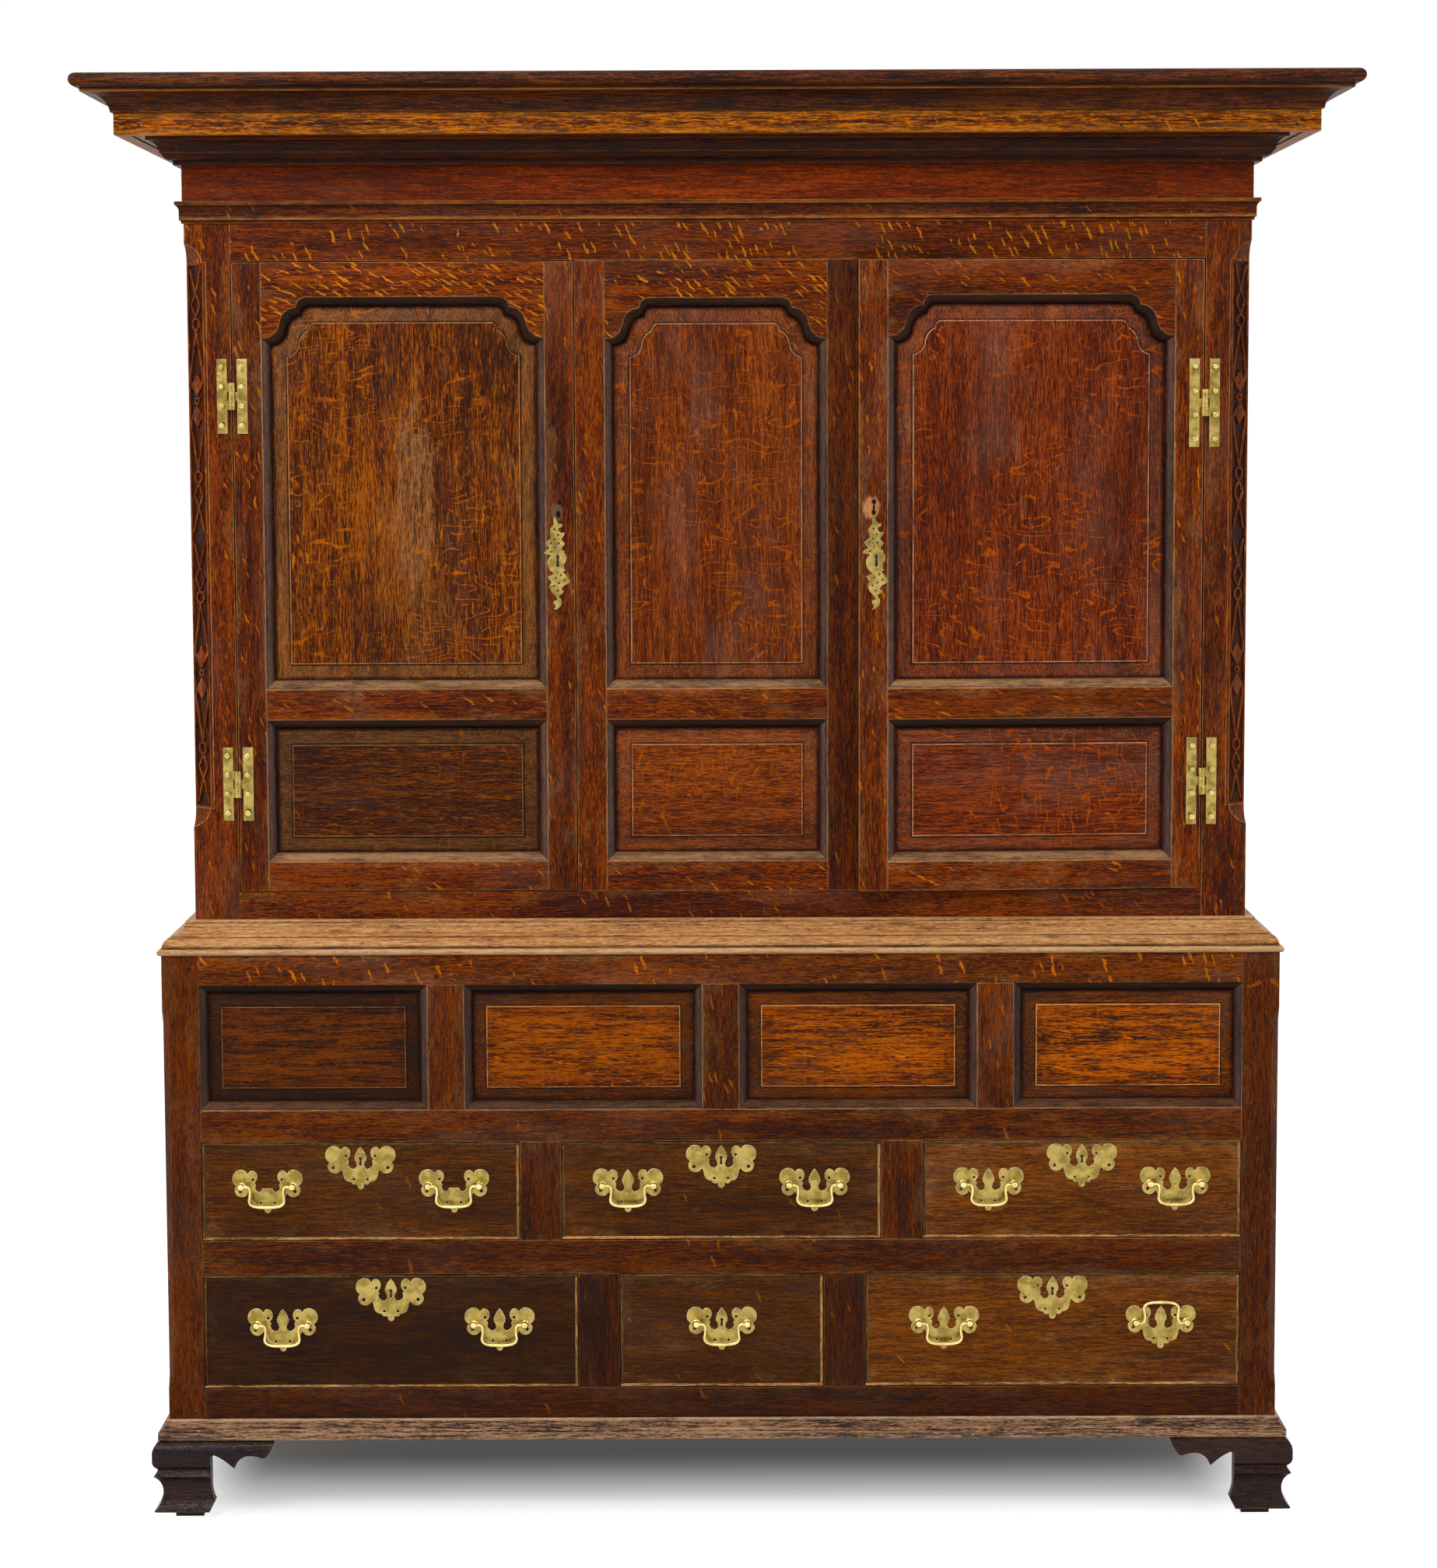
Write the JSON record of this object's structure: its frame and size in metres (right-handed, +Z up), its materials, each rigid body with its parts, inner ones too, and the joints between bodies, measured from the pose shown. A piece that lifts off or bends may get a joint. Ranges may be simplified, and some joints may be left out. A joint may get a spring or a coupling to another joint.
{
  "type": "linen press",
  "caption": "Two-part oak cupboard with a pair of panelled doors beside a fixed centre, a moulded cornice, two rows of drawers below and bracket feet.",
  "frame": {"origin": "on the floor, under the middle of the bounding box", "axes": "+Z up; the front faces -Y; +X to the right as seen from the front"},
  "size_m": [1.744, 0.65, 2.015],
  "materials": {
    "oak_carcase": "waxed oak, worn",
    "oak_panel": "waxed quarter-sawn oak",
    "oak_dark": "dark waxed oak",
    "oak_bright": "worn oak, lighter",
    "oak_drawer": "dark waxed oak",
    "oak_plain": "unfinished oak",
    "brass": "old brass, rubbed",
    "iron": "old wrought iron"
  },
  "bodies": {
    "case": {"architrave_moulding": "oak_dark", "back_boards": "oak_plain", "base_moulding": "oak_dark", "bed_moulding": "oak_dark", "blind_fretwork": "oak_carcase", "bracket_feet": "oak_dark", "centre_frame": "oak_carcase", "centre_panels": "oak_panel", "cornice_boards": "oak_plain", "cornice_fascia": "oak_bright", "crown_moulding": "oak_dark", "cupboard_boards": "oak_plain", "drawer_runners": "oak_plain", "fixed_hinge_leaves": "brass", "frieze": "oak_carcase", "joint_pegs": "oak_dark", "lower_muntins": "oak_carcase", "lower_panels": "oak_panel", "lower_posts": "oak_carcase", "lower_rails": "oak_carcase", "shelf_bearers": "oak_plain", "shelves": "oak_plain", "side_panels": "oak_panel", "side_rails": "oak_carcase", "upper_posts": "oak_carcase", "upper_rails": "oak_carcase", "waist_moulding": "oak_bright"},
    "left_door": {"left_door_brasses": "brass", "left_door_frame": "oak_carcase", "left_door_lock": "iron", "left_door_panels": "oak_panel"},
    "right_door": {"right_door_brasses": "brass", "right_door_frame": "oak_carcase", "right_door_lock": "iron", "right_door_panels": "oak_panel"},
    "upper_drawer_left": {"upper_drawer_left": "oak_drawer", "upper_drawer_left_brasses": "brass"},
    "upper_drawer_left_bail_left": {"upper_drawer_left_bail_left": "brass"},
    "upper_drawer_left_bail_right": {"upper_drawer_left_bail_right": "brass"},
    "upper_drawer_middle": {"upper_drawer_middle": "oak_drawer", "upper_drawer_middle_brasses": "brass"},
    "upper_drawer_middle_bail_left": {"upper_drawer_middle_bail_left": "brass"},
    "upper_drawer_middle_bail_right": {"upper_drawer_middle_bail_right": "brass"},
    "upper_drawer_right": {"upper_drawer_right": "oak_drawer", "upper_drawer_right_brasses": "brass"},
    "upper_drawer_right_bail_left": {"upper_drawer_right_bail_left": "brass"},
    "upper_drawer_right_bail_right": {"upper_drawer_right_bail_right": "brass"},
    "lower_drawer_left": {"lower_drawer_left": "oak_drawer", "lower_drawer_left_brasses": "brass"},
    "lower_drawer_left_bail_left": {"lower_drawer_left_bail_left": "brass"},
    "lower_drawer_left_bail_right": {"lower_drawer_left_bail_right": "brass"},
    "lower_drawer_middle": {"lower_drawer_middle": "oak_drawer", "lower_drawer_middle_brasses": "brass"},
    "lower_drawer_middle_bail_middle": {"lower_drawer_middle_bail_middle": "brass"},
    "lower_drawer_right": {"lower_drawer_right": "oak_drawer", "lower_drawer_right_brasses": "brass"},
    "lower_drawer_right_bail_left": {"lower_drawer_right_bail_left": "brass"},
    "lower_drawer_right_bail_right": {"lower_drawer_right_bail_right": "brass"}
  },
  "joints": [
    {"name": "left_door_hinge", "type": "hinge", "parent": "case", "child": "left_door", "pos_m": [-0.67525, -0.1973, 1.328], "axis": [0, 0, -1], "range_deg": [0, 170]},
    {"name": "right_door_hinge", "type": "hinge", "parent": "case", "child": "right_door", "pos_m": [0.67525, -0.1973, 1.328], "axis": [0, 0, 1], "range_deg": [-3, 167]},
    {"name": "upper_drawer_left_slide", "type": "slide", "parent": "case", "child": "upper_drawer_left", "axis": [0, -1, 0], "range_m": [0, 0.38]},
    {"name": "upper_drawer_left_bail_left_swing", "type": "hinge", "parent": "upper_drawer_left", "child": "upper_drawer_left_bail_left", "pos_m": [-0.6382, -0.247, 0.4775], "axis": [-1, 0, 0], "range_deg": [0, 196.9]},
    {"name": "upper_drawer_left_bail_right_swing", "type": "hinge", "parent": "upper_drawer_left", "child": "upper_drawer_left_bail_right", "pos_m": [-0.3758, -0.247, 0.4775], "axis": [-1, 0, 0], "range_deg": [0, 196.9]},
    {"name": "upper_drawer_middle_slide", "type": "slide", "parent": "case", "child": "upper_drawer_middle", "axis": [0, -1, 0], "range_m": [0, 0.38]},
    {"name": "upper_drawer_middle_bail_left_swing", "type": "hinge", "parent": "upper_drawer_middle", "child": "upper_drawer_middle_bail_left", "pos_m": [-0.1312, -0.247, 0.4775], "axis": [-1, 0, 0], "range_deg": [0, 196.9]},
    {"name": "upper_drawer_middle_bail_right_swing", "type": "hinge", "parent": "upper_drawer_middle", "child": "upper_drawer_middle_bail_right", "pos_m": [0.1312, -0.247, 0.4775], "axis": [-1, 0, 0], "range_deg": [0, 196.9]},
    {"name": "upper_drawer_right_slide", "type": "slide", "parent": "case", "child": "upper_drawer_right", "axis": [0, -1, 0], "range_m": [0, 0.38]},
    {"name": "upper_drawer_right_bail_left_swing", "type": "hinge", "parent": "upper_drawer_right", "child": "upper_drawer_right_bail_left", "pos_m": [0.3758, -0.247, 0.4775], "axis": [-1, 0, 0], "range_deg": [0, 196.9]},
    {"name": "upper_drawer_right_bail_right_swing", "type": "hinge", "parent": "upper_drawer_right", "child": "upper_drawer_right_bail_right", "pos_m": [0.6382, -0.247, 0.4775], "axis": [-1, 0, 0], "range_deg": [0, 196.9]},
    {"name": "lower_drawer_left_slide", "type": "slide", "parent": "case", "child": "lower_drawer_left", "axis": [0, -1, 0], "range_m": [0, 0.38]},
    {"name": "lower_drawer_left_bail_left_swing", "type": "hinge", "parent": "lower_drawer_left", "child": "lower_drawer_left_bail_left", "pos_m": [-0.6195, -0.247, 0.279], "axis": [-1, 0, 0], "range_deg": [0, 196.9]},
    {"name": "lower_drawer_left_bail_right_swing", "type": "hinge", "parent": "lower_drawer_left", "child": "lower_drawer_left_bail_right", "pos_m": [-0.3135, -0.247, 0.279], "axis": [-1, 0, 0], "range_deg": [0, 196.9]},
    {"name": "lower_drawer_middle_slide", "type": "slide", "parent": "case", "child": "lower_drawer_middle", "axis": [0, -1, 0], "range_m": [0, 0.38]},
    {"name": "lower_drawer_middle_bail_middle_swing", "type": "hinge", "parent": "lower_drawer_middle", "child": "lower_drawer_middle_bail_middle", "pos_m": [0, -0.247, 0.279], "axis": [-1, 0, 0], "range_deg": [0, 196.9]},
    {"name": "lower_drawer_right_slide", "type": "slide", "parent": "case", "child": "lower_drawer_right", "axis": [0, -1, 0], "range_m": [0, 0.38]},
    {"name": "lower_drawer_right_bail_left_swing", "type": "hinge", "parent": "lower_drawer_right", "child": "lower_drawer_right_bail_left", "pos_m": [0.3135, -0.247, 0.279], "axis": [-1, 0, 0], "range_deg": [0, 196.9]},
    {"name": "lower_drawer_right_bail_right_swing", "type": "hinge", "parent": "lower_drawer_right", "child": "lower_drawer_right_bail_right", "pos_m": [0.6195, -0.247, 0.279], "axis": [-1, 0, 0], "range_deg": [-196.9, 0]}
  ]
}
